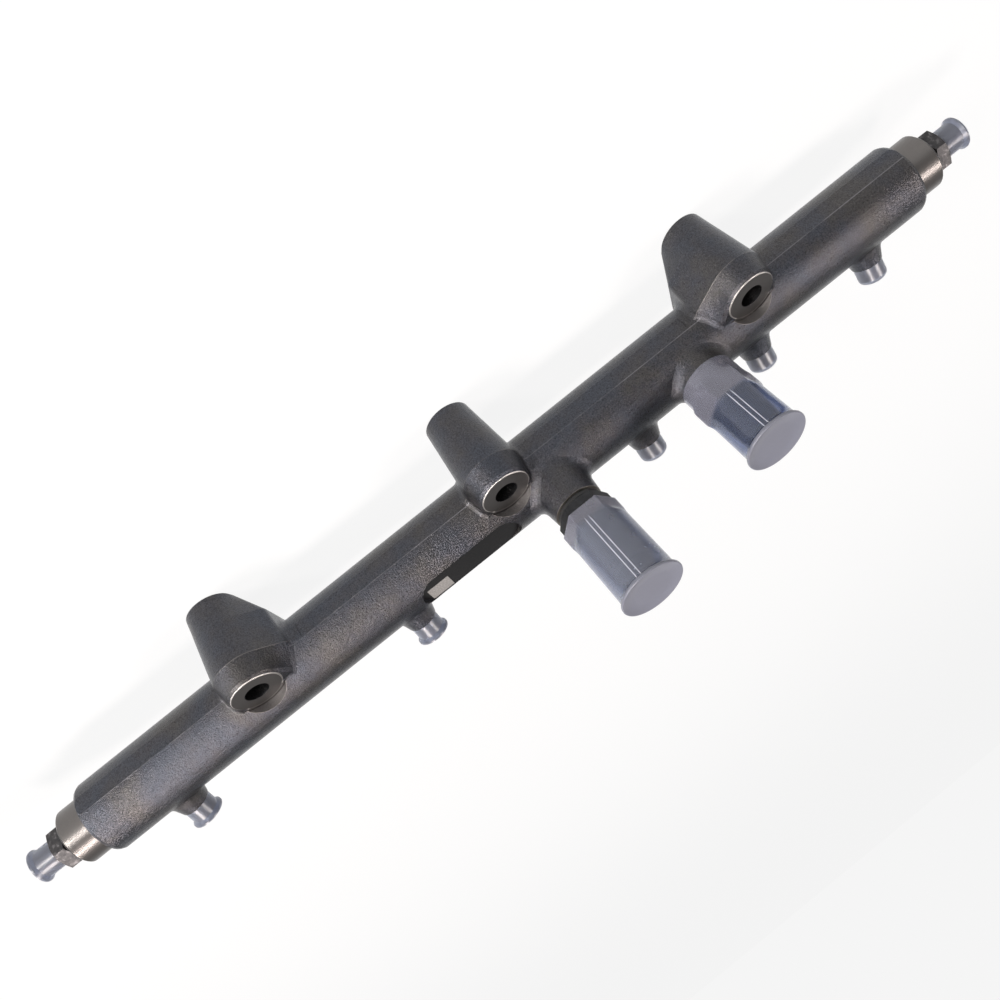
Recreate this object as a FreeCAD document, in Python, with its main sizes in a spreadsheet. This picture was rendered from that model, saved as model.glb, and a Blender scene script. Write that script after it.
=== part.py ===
# High-pressure fuel rail of a six-cylinder engine: a forged bar with three bolted towers,
# five outlet stubs, an end union on each side, a relief valve and a pressure sensor,
# all with the transport caps that a new rail is delivered with.
# Millimetres. X runs along the rail, Z along the mounting bolts. The origin is the centre
# of the middle bolt hole on the plane that rests against the engine.
import FreeCAD
import Part
import math
import os
import Sketcher

Vector = FreeCAD.Vector
Rotation = FreeCAD.Rotation
Placement = FreeCAD.Placement

doc = FreeCAD.newDocument("FuelRail")
sizes = doc.addObject("Spreadsheet::Sheet", "Sizes")

SIZES = [
    # bar and its turned ends
    ("bar_radius", 20.8, "forged bar"),
    ("bar_half_length", 273.2, "middle tower to the end of the forging"),
    ("bar_end_round", 2.2, "rounding of the forging's end"),
    ("trim_flat_depth", 0.55, "flat left where the flash was trimmed"),
    ("spigot_radius", 16.25, "turned end"),
    ("spigot_length", 16.2, "turned end beyond the forging"),
    ("spigot_chamfer", 1.4, "edge of the turned end"),
    ("bore_radius", 5.0, "fuel space along the rail"),
    # towers
    ("axis_height", 42.0, "mounting plane to rail axis"),
    ("tower_offset", 25.6, "bolt axis to rail axis"),
    ("tower_pitch", 160.0, "between bolts"),
    ("bolt_hole_radius", 6.5, "clearance for a 12 mm bolt"),
    ("foot_radius", 13.4, "tower at the mounting plane"),
    ("parting_radius", 17.4, "tower at the parting line"),
    ("nose_radius", 14.9, "tower under the bolt head"),
    ("nose_height", 12.8, "rail axis to the forged pad"),
    ("seat_radius", 14.1, "machined bolt seat"),
    ("seat_height", 0.5, "bolt seat above the forged pad"),
    ("seat_chamfer", 0.45, "edge of the bolt seat"),
    ("spotface_radius", 15.6, "milled clear of the bar around the bolt seat"),
    ("gusset_knee_height", 17.5, "mounting plane to the gusset's knee"),
    ("gusset_knee_reach", 24.0, "bolt axis to the gusset's wall at the knee"),
    ("gusset_reach", 26.0, "bolt axis to the gusset's wall at the parting line"),
    ("gusset_top_reach", 19.2, "bolt axis to the gusset's wall at the pad"),
    ("gusset_round", 4.5, "corner of the gusset"),
    ("gusset_setback", 5.0, "bolt axis back to the corner's centre"),
    ("brow_round", 1.6, "soft edge around the forged pad"),
    ("tower_blend", 3.5, "forging radius between tower and bar"),
    ("blend_margin", 3.0, "round land beyond a blend"),
    ("blend_sink", 0.03, "start of a blend under the bar's surface"),
    # outlets
    ("port_pitch", 78.5, "spacing that the outlets keep"),
    ("port_shift", 1.0, "outlet pattern against the middle tower"),
    ("port_tilt", 53.0, "degrees from the bolt axis, away from the towers"),
    ("port_base_radius", 16.0, "outlet boss, its cone drawn down to the rail axis"),
    ("port_neck_radius", 8.6, "outlet boss at the thread"),
    ("port_blend", 3.5, "forging radius between boss and bar"),
    ("port_neck_reach", 27.6, "rail axis to the start of the thread"),
    ("thread_radius", 7.0, "fine thread of 14 mm"),
    ("port_reach", 36.4, "rail axis to the stub's end"),
    ("port_chamfer", 1.0, "stub's edge"),
    ("seat_cone_radius", 4.6, "mouth of the pipe seat"),
    ("seat_cone_depth", 5.2, "depth of the pipe seat"),
    ("drill_radius", 1.5, "outlet drilling"),
    # necks of the valve and the sensor
    ("fitting_tilt", 6.6, "degrees from the bolt axis, towards the towers"),
    ("valve_x", 24.9, "middle tower to valve"),
    ("sensor_x", 119.3, "middle tower to sensor"),
    ("neck_foot_radius", 18.0, "neck, its cone drawn down to the rail axis"),
    ("neck_draft", 6.4, "degrees of taper"),
    ("neck_blend", 7.0, "forging radius between neck and bar"),
    ("neck_spare", 8.0, "neck as forged beyond its machined face"),
    ("valve_neck_reach", 35.2, "rail axis to the valve neck's face"),
    ("sensor_neck_reach", 24.0, "rail axis to the sensor neck's face"),
    ("socket_bottom", 12.5, "rail axis to the socket's bottom"),
    ("feed_radius", 2.5, "drilling from the socket to the fuel space"),
    # milled flat for marking
    ("label_height", 18.0, "rail axis to the milled flat"),
    ("label_left", -68.6, "left end of the flat"),
    ("label_right", -4.2, "right end of the flat"),
    ("label_radius", 10.4, "round ends of the flat"),
    # end unions
    ("union_hex", 22.0, "across flats"),
    ("union_hex_length", 7.6, "hexagon"),
    ("union_shank_radius", 6.9, "screwed into the rail"),
    ("union_shank_length", 12.0, "screwed into the rail"),
    ("union_reach", 13.4, "thread beyond the hexagon"),
    ("union_collar_radius", 8.6, "plain collar beyond the hexagon"),
    ("union_collar_length", 1.6, "plain collar beyond the hexagon"),
    ("union_bore_radius", 1.8, "through hole of the union"),
    ("hex_chamfer", 0.9, "hexagon's turned edge"),
    ("shank_clearance", 0.2, "thread against its hole"),
    ("washer_radius", 10.4, "seal under the union"),
    ("washer_thickness", 1.8, "seal under the union"),
    # small caps
    ("cap_clearance", 0.15, "between thread and cap"),
    ("cap_wall", 0.85, "small caps"),
    ("cap_mouth_gap", 0.4, "cap's mouth to the shoulder behind the thread"),
    ("cap_overhang", 1.6, "cap beyond the end of the thread"),
    ("cap_flare_radius", 9.5, "flared end"),
    ("cap_flare_length", 2.6, "flared end"),
    ("cap_end_wall", 0.9, "closed end"),
    ("cap_round", 2.4, "rounded end"),
    # valve
    ("valve_hex", 27.0, "across flats"),
    ("seal_thickness", 3.2, "ring between neck and hexagon"),
    ("valve_seal_radius", 13.0, "ring between neck and hexagon"),
    ("valve_hex_length", 12.6, "hexagon"),
    ("valve_body_radius", 12.6, "round body above the hexagon"),
    ("valve_body_length", 31.5, "round body above the hexagon"),
    ("valve_tip_radius", 10.4, "stepped end"),
    ("valve_tip_length", 8.5, "stepped end"),
    ("shank_radius", 9.0, "thread in the neck"),
    ("socket_floor_gap", 1.2, "end of that thread to the socket's bottom"),
    ("plug_radius", 6.0, "plug in the valve's end"),
    ("plug_depth", 6.0, "plug in the valve's end"),
    ("plug_key", 6.0, "hexagon socket of the plug"),
    # sensor
    ("sensor_seal_radius", 12.6, "ring under the sensor"),
    ("sensor_seal_thickness", 2.0, "ring under the sensor"),
    ("sensor_flange_radius", 14.6, "round part under the hexagon"),
    ("sensor_flange_length", 9.6, "round part under the hexagon"),
    ("sensor_hex", 29.0, "across flats"),
    ("sensor_hex_length", 9.4, "hexagon"),
    ("shell_radius", 13.3, "connector at the hexagon"),
    ("shell_tip_radius", 11.6, "connector at its mouth"),
    ("shell_length", 26.0, "connector"),
    ("shell_wall", 2.0, "connector"),
    ("shell_floor", 11.0, "connector's solid foot"),
    ("blade_width", 2.8, "contact"),
    ("blade_thickness", 0.8, "contact"),
    ("blade_length", 9.0, "contact above the connector's floor"),
    ("blade_pitch", 4.6, "between contacts"),
    # large caps
    ("hood_length", 53.0, "large cap"),
    ("hood_wall", 0.75, "large cap"),
    ("hood_clearance", 0.12, "between hexagon and cap"),
    ("hood_radius", 16.1, "large cap along its body"),
    ("hood_flange_radius", 18.15, "large cap's end"),
    ("hood_flange_thickness", 1.7, "large cap's end"),
    ("hood_recess", 0.6, "shallow recess in the end"),
    ("valve_hood_grip", 6.9, "hexagon inside the valve cap's mouth"),
    ("sensor_hood_gap", 0.4, "sensor neck's face to the sensor cap's mouth"),
]
for row, (alias, number, note) in enumerate(SIZES, start=1):
    sizes.set("A%d" % row, alias)
    sizes.set("B%d" % row, repr(number))
    sizes.set("C%d" % row, note)
    sizes.setAlias("B%d" % row, alias)
doc.recompute()


def value(expression):
    """Number that an expression gives with the sheet's present values."""
    if isinstance(expression, (int, float)):
        return float(expression)
    found = sizes.evalExpression(expression)
    return float(getattr(found, "Value", found))


def bound(expression):
    """The same expression as another object of the document writes it."""
    text = str(expression)
    for alias in sorted(NAMES, key=len, reverse=True):
        text = swap(text, alias)
    return text


NAMES = [alias for alias, number, note in SIZES]


def swap(text, alias):
    parts = []
    word = ""
    for letter in text + " ":
        if letter.isalnum() or letter == "_" or letter == ".":
            word += letter
        else:
            parts.append("Sizes." + word if word == alias else word)
            parts.append(letter)
            word = ""
    return "".join(parts).rstrip()


def bind(thing, path, expression):
    thing.setExpression(path, bound(expression))


def place(thing, x=0, y=0, z=0, axis=None, angle=0):
    """Places an object with its own numbers bound to the sheet."""
    turn = Rotation() if axis is None else Rotation(axis, value(angle))
    thing.Placement = Placement(Vector(value(x), value(y), value(z)), turn)
    for letter, expression in (("x", x), ("y", y), ("z", z)):
        if not isinstance(expression, (int, float)):
            bind(thing, "Placement.Base." + letter, expression)
    if axis is not None and not isinstance(angle, (int, float)):
        bind(thing, "Placement.Rotation.Angle", angle)
    return thing


def cylinder(name, radius, height, **where):
    made = doc.addObject("Part::Cylinder", name)
    bind(made, "Radius", radius)
    bind(made, "Height", height)
    return place(made, **where)


def cone(name, low, high, height, **where):
    made = doc.addObject("Part::Cone", name)
    bind(made, "Radius1", low)
    bind(made, "Radius2", high)
    bind(made, "Height", height)
    return place(made, **where)


def box(name, length, width, height, **where):
    made = doc.addObject("Part::Box", name)
    bind(made, "Length", length)
    bind(made, "Width", width)
    bind(made, "Height", height)
    return place(made, **where)


def prism(name, flats, height, **where):
    made = doc.addObject("Part::Prism", name)
    made.Polygon = 6
    bind(made, "Circumradius", "(%s) / 2 / cos(30)" % flats)
    bind(made, "Height", height)
    return place(made, **where)


def fuse(name, things):
    made = doc.addObject("Part::MultiFuse", name)
    made.Shapes = things
    made.Refine = True
    return made


def cut(name, base, tool):
    made = doc.addObject("Part::Cut", name)
    made.Base = base
    made.Tool = tool
    made.Refine = True
    return made


def common(name, base, tool):
    made = doc.addObject("Part::Common", name)
    made.Base = base
    made.Tool = tool
    return made


def outline(sketch, corners):
    """Closed outline of straight lines whose corners are bound to the sheet."""
    spots = [Vector(value(a), value(b), 0) for a, b in corners]
    count = len(spots)
    for i in range(count):
        sketch.addGeometry(Part.LineSegment(spots[i], spots[(i + 1) % count]), False)
    for i in range(count):
        sketch.addConstraint(Sketcher.Constraint("Coincident", i, 2, (i + 1) % count, 1))
    for i, (a, b) in enumerate(corners):
        for kind, letter, expression in (("DistanceX", "a", a), ("DistanceY", "b", b)):
            at = sketch.addConstraint(
                Sketcher.Constraint(kind, -1, 1, i, 1, value(expression)))
            if not isinstance(expression, (int, float)):
                sketch.renameConstraint(at, "%s%d" % (letter, i))
                bind(sketch, "Constraints.%s%d" % (letter, i), expression)
    return sketch


def plane_of(body, role):
    for feature in body.Origin.OriginFeatures:
        if feature.Role == role:
            return feature
    return None


def turned(name, corners):
    """Body turned about its own Z axis from an outline of radius and height."""
    body = doc.addObject("PartDesign::Body", name)
    sketch = body.newObject("Sketcher::SketchObject", name + "Profile")
    sketch.AttachmentSupport = [(plane_of(body, "XZ_Plane"), "")]
    sketch.MapMode = "FlatFace"
    outline(sketch, corners)
    spin = body.newObject("PartDesign::Revolution", name + "Turn")
    spin.Profile = sketch
    spin.ReferenceAxis = (sketch, ["V_Axis"])
    spin.Angle = 360.0
    doc.recompute()
    return body


def prismatic(name, corners, thickness):
    """Plate in the XZ plane, its outline padded evenly to both sides."""
    body = doc.addObject("PartDesign::Body", name)
    sketch = body.newObject("Sketcher::SketchObject", name + "Profile")
    sketch.AttachmentSupport = [(plane_of(body, "XZ_Plane"), "")]
    sketch.MapMode = "FlatFace"
    outline(sketch, corners)
    pad = body.newObject("PartDesign::Pad", name + "Pad")
    pad.Profile = sketch
    pad.Midplane = True
    bind(pad, "Length", thickness)
    doc.recompute()
    return body


X_AXIS = Vector(1, 0, 0)
Y_AXIS = Vector(0, 1, 0)
# A cylinder turned -120 degrees about this line runs along X with its seam on the -Y side.
SEAM_BEHIND = Vector(1, -1, 1)
RAIL_Y = "-tower_offset"
FITTING = dict(y=RAIL_Y, z="axis_height", axis=X_AXIS, angle="-fitting_tilt")
PORT = dict(y=RAIL_Y, z="axis_height", axis=X_AXIS, angle="port_tilt")

# The bar, in a frame whose Z is the valve's axis. The forging's two die halves meet on a
# plane through the rail axis square to it, and the trimmed flash leaves a flat there.
bar = cylinder("BarRound", "bar_radius", "2 * bar_half_length",
               x="-bar_half_length", axis=SEAM_BEHIND, angle=-120)
bar_ends = []
for side, x, angle in (("Left", "-bar_half_length", 90), ("Right", "bar_half_length", -90)):
    end = turned("BarEnd" + side, [
        ("bar_radius - bar_end_round", -1), ("bar_radius + 3", -1),
        ("bar_radius + 3", "bar_end_round"), ("bar_radius", "bar_end_round"),
        ("bar_radius - bar_end_round * 0.29", "bar_end_round * 0.29"),
        ("bar_radius - bar_end_round", 0)])
    bar_ends.append(place(end, x=x, axis=Y_AXIS, angle=angle))


def trim(name, y):
    return box(name, "2 * bar_half_length + 2", "bar_radius", "bar_radius",
               x="-bar_half_length - 1", y=y, z="-bar_radius / 2")


trim_back = trim("TrimBack", "trim_flat_depth - 2 * bar_radius")
bar_rough = cut("BarRough", bar, fuse("BarCuts", bar_ends + [trim_back]))

spigot = turned("SpigotBar", [
    (0, "-bar_half_length - spigot_length"),
    ("spigot_radius - spigot_chamfer", "-bar_half_length - spigot_length"),
    ("spigot_radius", "-bar_half_length - spigot_length + spigot_chamfer"),
    ("spigot_radius", "bar_half_length + spigot_length - spigot_chamfer"),
    ("spigot_radius - spigot_chamfer", "bar_half_length + spigot_length"),
    (0, "bar_half_length + spigot_length")])
place(spigot, axis=Y_AXIS, angle=90)


def blended(name, thing, half, blend, step, y=0, z=0):
    """A piece of the forging on a short length of round bar, rounded where they meet."""
    land = "bar_radius - blend_sink * %d" % step
    length = cylinder(name + "Length", land, "2 * (%s)" % half,
                      x="-(%s)" % half, y=y, z=z, axis=SEAM_BEHIND, angle=-120)
    joined = fuse(name + "Joined", [length, thing])
    doc.recompute()
    axis_y = value(y)
    axis_z = value(z)
    edges = []
    for number, edge in enumerate(joined.Shape.Edges, start=1):
        first = edge.FirstParameter
        last = edge.LastParameter
        spots = [edge.valueAt(first + (last - first) * share) for share in (0.0, 0.3, 0.7, 1.0)]
        off = [abs(math.hypot(spot.y - axis_y, spot.z - axis_z) - value(land))
               for spot in spots]
        inside = max(abs(spot.x) for spot in spots[1:3]) < value(half) - 0.1
        sides = [face for face in joined.Shape.Faces
                 if any(edge.isSame(other) for other in face.Edges)]
        if max(off) < 0.001 and inside and len(sides) == 2:
            edges.append("Edge%d" % number)
    body = doc.addObject("PartDesign::Body", name + "Blended")
    body.BaseFeature = joined
    doc.recompute()
    rounding = body.newObject("PartDesign::Fillet", name + "Blend")
    rounding.Base = (body.Group[0], edges)
    bind(rounding, "Radius", blend)
    body.Tip = rounding
    doc.recompute()
    return body


def neck(name, x, reach):
    """Forged neck of round section, faced off square to its axis."""
    raw = "(%s + neck_spare)" % reach
    cone = turned(name + "Cone", [
        (0, 0), ("neck_foot_radius", 0),
        ("neck_foot_radius - %s * tan(neck_draft)" % raw, raw), (0, raw)])
    whole = blended(name, cone, "neck_foot_radius + neck_blend + blend_margin", "neck_blend", 3)
    wide = "4 * neck_foot_radius"
    side = "-2 * neck_foot_radius"
    facing = box(name + "Facing", wide, wide, "neck_spare + 1", x=side, y=side, z=reach)
    under = box(name + "Under", wide, wide, "bar_radius * 1.4",
                x=side, y=side, z="-bar_radius * 1.06")
    return place(cut(name + "Faced", whole, fuse(name + "Waste", [facing, under])), x=x)


valve_neck = neck("ValveNeck", "valve_x", "valve_neck_reach")
sensor_neck = neck("SensorNeck", "sensor_x", "sensor_neck_reach")
neck_group = fuse("NeckGroup", [valve_neck, sensor_neck])

# Outlet bosses with their stubs, in a frame whose Z is the outlets' axis.
PORTS = [-3, -1, 1, 2, 3]


def stub(index, step):
    boss = turned("Boss%d" % index, [
        (0, 0), ("port_base_radius", 0), ("port_neck_radius", "port_neck_reach"),
        ("thread_radius", "port_neck_reach"), ("thread_radius", "port_reach - port_chamfer"),
        ("thread_radius - port_chamfer", "port_reach"), (0, "port_reach")])
    whole = blended("Stub%d" % index, boss, "port_base_radius + port_blend + blend_margin",
                    "port_blend", 2)
    return place(whole, x="%d * port_pitch + port_shift" % step)


stub_group = fuse("StubGroup", [stub(i + 1, step) for i, step in enumerate(PORTS)])
place(stub_group, axis=X_AXIS, angle="port_tilt + fitting_tilt")


def tower_section(name, height, radius, back, reach=None, setback=None, corner=None):
    """Section of a tower: round at the bolt, straight back to the bar, with a corner
    towards the rail's middle where the tower carries a gusset."""
    sketch = doc.addObject("Sketcher::SketchObject", name)
    place(sketch, z=height)
    r = value(radius)
    b = value(back)
    if reach is None:
        sketch.addGeometry(Part.LineSegment(Vector(-r, b, 0), Vector(-r, 0, 0)), False)
        circle = Part.Circle(Vector(0, 0, 0), Vector(0, 0, 1), r)
        sketch.addGeometry(Part.ArcOfCircle(circle, 0, math.pi), False)
        sketch.addGeometry(Part.LineSegment(Vector(r, 0, 0), Vector(r, b, 0)), False)
        sketch.addGeometry(Part.LineSegment(Vector(r, b, 0), Vector(-r, b, 0)), False)
        pairs = [(0, 2, 1, 2), (1, 1, 2, 1), (2, 2, 3, 1), (3, 2, 0, 1)]
        for a, ea, c, ec in pairs:
            sketch.addConstraint(Sketcher.Constraint("Coincident", a, ea, c, ec))
        sketch.addConstraint(Sketcher.Constraint("Coincident", 1, 3, -1, 1))
        sketch.addConstraint(Sketcher.Constraint("PointOnObject", 1, 1, -1))
        sketch.addConstraint(Sketcher.Constraint("PointOnObject", 1, 2, -1))
        sketch.addConstraint(Sketcher.Constraint("Vertical", 0))
        sketch.addConstraint(Sketcher.Constraint("Vertical", 2))
        sketch.addConstraint(Sketcher.Constraint("Horizontal", 3))
        radius_at = sketch.addConstraint(Sketcher.Constraint("Radius", 1, r))
        back_at = sketch.addConstraint(Sketcher.Constraint("DistanceY", -1, 1, 2, 2, b))
    else:
        c = value(corner)
        cx = value(reach) - c
        cy = -value(setback)
        # outer tangent of the two circles on the front side
        span = math.hypot(cx, cy)
        lean = math.atan2(cy, cx)
        tilt = lean + math.acos((r - c) / span)
        t1 = Vector(r * math.cos(tilt), r * math.sin(tilt), 0)
        t2 = Vector(cx + c * math.cos(tilt), cy + c * math.sin(tilt), 0)
        big = Part.Circle(Vector(0, 0, 0), Vector(0, 0, 1), r)
        small = Part.Circle(Vector(cx, cy, 0), Vector(0, 0, 1), c)
        out = -r
        wall = cx + c
        sketch.addGeometry(Part.LineSegment(Vector(out, b, 0), Vector(out, 0, 0)), False)
        sketch.addGeometry(Part.ArcOfCircle(big, tilt, math.pi), False)
        sketch.addGeometry(Part.LineSegment(t1, t2), False)
        sketch.addGeometry(Part.ArcOfCircle(small, 0, tilt), False)
        sketch.addGeometry(Part.LineSegment(Vector(wall, cy, 0), Vector(wall, b, 0)), False)
        sketch.addGeometry(Part.LineSegment(Vector(wall, b, 0), Vector(out, b, 0)), False)
        sketch.addConstraint(Sketcher.Constraint("Coincident", 0, 2, 1, 2))
        sketch.addConstraint(Sketcher.Constraint("Tangent", 1, 1, 2, 1))
        sketch.addConstraint(Sketcher.Constraint("Tangent", 2, 2, 3, 2))
        sketch.addConstraint(Sketcher.Constraint("Tangent", 3, 1, 4, 1))
        sketch.addConstraint(Sketcher.Constraint("Coincident", 4, 2, 5, 1))
        sketch.addConstraint(Sketcher.Constraint("Coincident", 5, 2, 0, 1))
        sketch.addConstraint(Sketcher.Constraint("Coincident", 1, 3, -1, 1))
        sketch.addConstraint(Sketcher.Constraint("PointOnObject", 1, 2, -1))
        sketch.addConstraint(Sketcher.Constraint("Vertical", 0))
        sketch.addConstraint(Sketcher.Constraint("Vertical", 4))
        sketch.addConstraint(Sketcher.Constraint("Horizontal", 5))
        radius_at = sketch.addConstraint(Sketcher.Constraint("Radius", 1, r))
        back_at = sketch.addConstraint(Sketcher.Constraint("DistanceY", -1, 1, 4, 2, b))
        corner_at = sketch.addConstraint(Sketcher.Constraint("Radius", 3, c))
        reach_at = sketch.addConstraint(
            Sketcher.Constraint("DistanceX", -1, 1, 3, 3, cx))
        set_at = sketch.addConstraint(Sketcher.Constraint("DistanceY", -1, 1, 3, 3, cy))
        for at, alias, expression in (
                (corner_at, "corner", corner),
                (reach_at, "reach", "%s - %s" % (reach, corner)),
                (set_at, "setback", "-(%s)" % setback)):
            sketch.renameConstraint(at, alias)
            bind(sketch, "Constraints." + alias, expression)
    for at, alias, expression in ((radius_at, "radius", radius), (back_at, "back", back)):
        sketch.renameConstraint(at, alias)
        bind(sketch, "Constraints." + alias, expression)
    return sketch


def tower(name, x, gusset):
    """Drafted both ways from the parting line: down to the foot and up to the pad."""
    draft = "(parting_radius - foot_radius) / axis_height"
    rise = "(parting_radius - nose_radius) / nose_height"
    fall = "(gusset_reach - gusset_top_reach) / nose_height"
    knee = "foot_radius + gusset_knee_height * %s" % draft
    levels = [
        ("Foot", "0 * axis_height", "foot_radius", "-foot_radius",
         "foot_radius + 0.5", "gusset_setback * 0.4", "gusset_round"),
        ("Knee", "gusset_knee_height", knee, "-tower_offset",
         "gusset_knee_reach", "gusset_setback", "gusset_round * 1.2"),
        ("Parting", "axis_height", "parting_radius", "-tower_offset",
         "gusset_reach", "gusset_setback", "gusset_round * 1.5"),
        ("Brow", "axis_height + nose_height - brow_round",
         "nose_radius + brow_round * %s" % rise, "-tower_offset",
         "gusset_top_reach + brow_round * %s" % fall,
         "gusset_setback * (1.8 - 0.8 * brow_round / nose_height)", "gusset_round * 2"),
        ("Pad", "axis_height + nose_height", "nose_radius - brow_round * 0.55", "-tower_offset",
         "gusset_top_reach - brow_round * 0.75", "gusset_setback * 1.8", "gusset_round * 2")]
    sections = []
    for level, height, radius, back, reach, setback, corner in levels:
        if gusset:
            sections.append(tower_section(name + level, height, radius, back,
                                          reach, setback, corner))
        else:
            sections.append(tower_section(name + level, height, radius, back))
    doc.recompute()
    loft = doc.addObject("Part::Loft", name + "Column")
    loft.Sections = sections
    loft.Solid = True
    loft.Ruled = True
    seat = turned(name + "Seat", [
        (0, "axis_height"), ("seat_radius", "axis_height"),
        ("seat_radius", "axis_height + nose_height + seat_height - seat_chamfer"),
        ("seat_radius - seat_chamfer", "axis_height + nose_height + seat_height"),
        (0, "axis_height + nose_height + seat_height")])
    wide = "gusset_reach" if gusset else "parting_radius"
    forged = blended(name, loft, wide + " + tower_blend + blend_margin", "tower_blend", 1,
                     y=RAIL_Y, z="axis_height")
    behind = box(name + "Behind", "4 * gusset_reach", "bar_radius", "3 * bar_radius",
                 x="-2 * gusset_reach", y="-tower_offset - bar_radius * 1.4",
                 z="axis_height - bar_radius * 1.5")
    return place(cut(name + "Whole", fuse(name + "Seated", [forged, seat]), behind), x=x)


tower_left = tower("TowerLeft", "-tower_pitch", True)
tower_middle = tower("TowerMiddle", 0, False)
tower_right = doc.addObject("Part::Mirroring", "TowerRight")
tower_right.Source = tower_left
tower_right.Normal = X_AXIS

bar_group = fuse("BarGroup", [bar_rough, spigot, neck_group, stub_group])
trim_front = trim("TrimFront", "bar_radius - trim_flat_depth")
trimmed_bar = place(cut("TrimmedBar", bar_group, trim_front), **FITTING)
forging = fuse("Forging", [trimmed_bar, tower_left, tower_middle, tower_right])

# What is drilled, tapped and milled out of the forging.
reach_end = "(bar_half_length + spigot_length)"
bore = cylinder("FuelSpace", "bore_radius", "2 * %s" % reach_end,
                x="-%s" % reach_end, axis=Y_AXIS, angle=90)
left_socket = cylinder("LeftSocket", "union_shank_radius + shank_clearance",
                       "union_shank_length + 2",
                       x="-%s - 1" % reach_end, axis=Y_AXIS, angle=90)
right_socket = cylinder("RightSocket", "union_shank_radius + shank_clearance",
                        "union_shank_length + 2",
                        x="%s + 1" % reach_end, axis=Y_AXIS, angle=-90)
valve_socket = cylinder("ValveSocket", "shank_radius + shank_clearance",
                        "valve_neck_reach - socket_bottom + 1",
                        x="valve_x", z="socket_bottom")
sensor_socket = cylinder("SensorSocket", "shank_radius + shank_clearance",
                         "sensor_neck_reach - socket_bottom + 1",
                         x="sensor_x", z="socket_bottom")
valve_feed = cylinder("ValveFeed", "feed_radius", "socket_bottom + 1", x="valve_x")
sensor_feed = cylinder("SensorFeed", "feed_radius", "socket_bottom + 1", x="sensor_x")
bar_holes = fuse("BarHoles", [bore, left_socket, right_socket, valve_socket,
                              sensor_socket, valve_feed, sensor_feed])
place(bar_holes, **FITTING)


def drilling(index, step):
    body = turned("Drilling%d" % index, [
        (0, 0), ("drill_radius", 0), ("drill_radius", "port_reach - seat_cone_depth"),
        ("seat_cone_radius", "port_reach"), ("seat_cone_radius", "port_reach + 1"),
        (0, "port_reach + 1")])
    return place(body, x="%d * port_pitch + port_shift" % step)


port_holes = fuse("PortHoles", [drilling(i + 1, step) for i, step in enumerate(PORTS)])
place(port_holes, **PORT)

bolt_holes = [cylinder("BoltHole%d" % (i + 1), "bolt_hole_radius",
                       "axis_height + nose_height + seat_height + 2",
                       x="%d * tower_pitch" % i0, z=-1)
              for i, i0 in enumerate((-1, 0, 1))]
flat_middle = box("FlatMiddle", "label_right - label_left - 2 * label_radius",
                  "2 * label_radius", "bar_radius - label_height + 2",
                  x="label_left + label_radius", y="-tower_offset - label_radius",
                  z="axis_height + label_height")
flat_left = cylinder("FlatLeft", "label_radius", "bar_radius - label_height + 2",
                     x="label_left + label_radius", y="-tower_offset",
                     z="axis_height + label_height")
flat_right = cylinder("FlatRight", "label_radius", "bar_radius - label_height + 2",
                      x="label_right - label_radius", y="-tower_offset",
                      z="axis_height + label_height")
spotfaces = [cylinder("Spotface%d" % (i + 1), "spotface_radius", "bar_radius",
                      x="%d * tower_pitch" % step, z="axis_height + nose_height + seat_height")
             for i, step in enumerate((-1, 0, 1))]
machining = fuse("Machining", [bar_holes, port_holes] + bolt_holes + spotfaces
                 + [flat_middle, flat_left, flat_right])
rail_forging = cut("RailForging", forging, machining)
doc.recompute()


# End unions, each in a frame whose Z points away from the rail and starts at its face.
def hexagon(name, flats, low, high):
    """Hexagon whose corners are turned off at both faces."""
    body = prism(name + "Flats", flats, "%s - (%s)" % (high, low), z=low)
    corner = "(%s) / 2 / cos(30)" % flats
    face = "(%s) / 2 - 0.1" % flats
    envelope = turned(name + "Edge", [
        (0, low), (face, low), (corner, "%s + hex_chamfer" % low),
        (corner, "%s - hex_chamfer" % high), (face, high), (0, high)])
    return common(name, body, envelope)


union_start = "washer_thickness"
union_top = "(washer_thickness + union_hex_length)"
union_tip = "(washer_thickness + union_hex_length + union_reach)"


def end_union(side, x, angle):
    flats = hexagon(side + "UnionHex", "union_hex", union_start, union_top)
    stem = turned(side + "UnionStem", [
        (0, "-union_shank_length"),
        ("union_shank_radius - port_chamfer", "-union_shank_length"),
        ("union_shank_radius", "-union_shank_length + port_chamfer"),
        ("union_shank_radius", union_start + " + 1"),
        ("union_collar_radius", union_start + " + 1"),
        ("union_collar_radius", union_top + " + union_collar_length"),
        ("thread_radius", union_top + " + union_collar_length"),
        ("thread_radius", union_tip + " - port_chamfer"),
        ("thread_radius - port_chamfer", union_tip),
        (0, union_tip)])
    hole = turned(side + "UnionHole", [
        (0, "-union_shank_length - 1"), ("union_bore_radius", "-union_shank_length - 1"),
        ("union_bore_radius", union_tip + " - seat_cone_depth"),
        ("seat_cone_radius", union_tip), ("seat_cone_radius", union_tip + " + 1"),
        (0, union_tip + " + 1")])
    made = cut(side + "Union", fuse(side + "UnionSolid", [flats, stem]), hole)
    return place(made, x=x, y=RAIL_Y, z="axis_height", axis=Y_AXIS, angle=angle)


def union_washer(side, x, angle):
    body = turned(side + "Washer", [
        ("union_shank_radius + shank_clearance", 0), ("washer_radius", 0),
        ("washer_radius", "washer_thickness"),
        ("union_shank_radius + shank_clearance", "washer_thickness")])
    return place(body, x=x, y=RAIL_Y, z="axis_height", axis=Y_AXIS, angle=angle)


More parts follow.
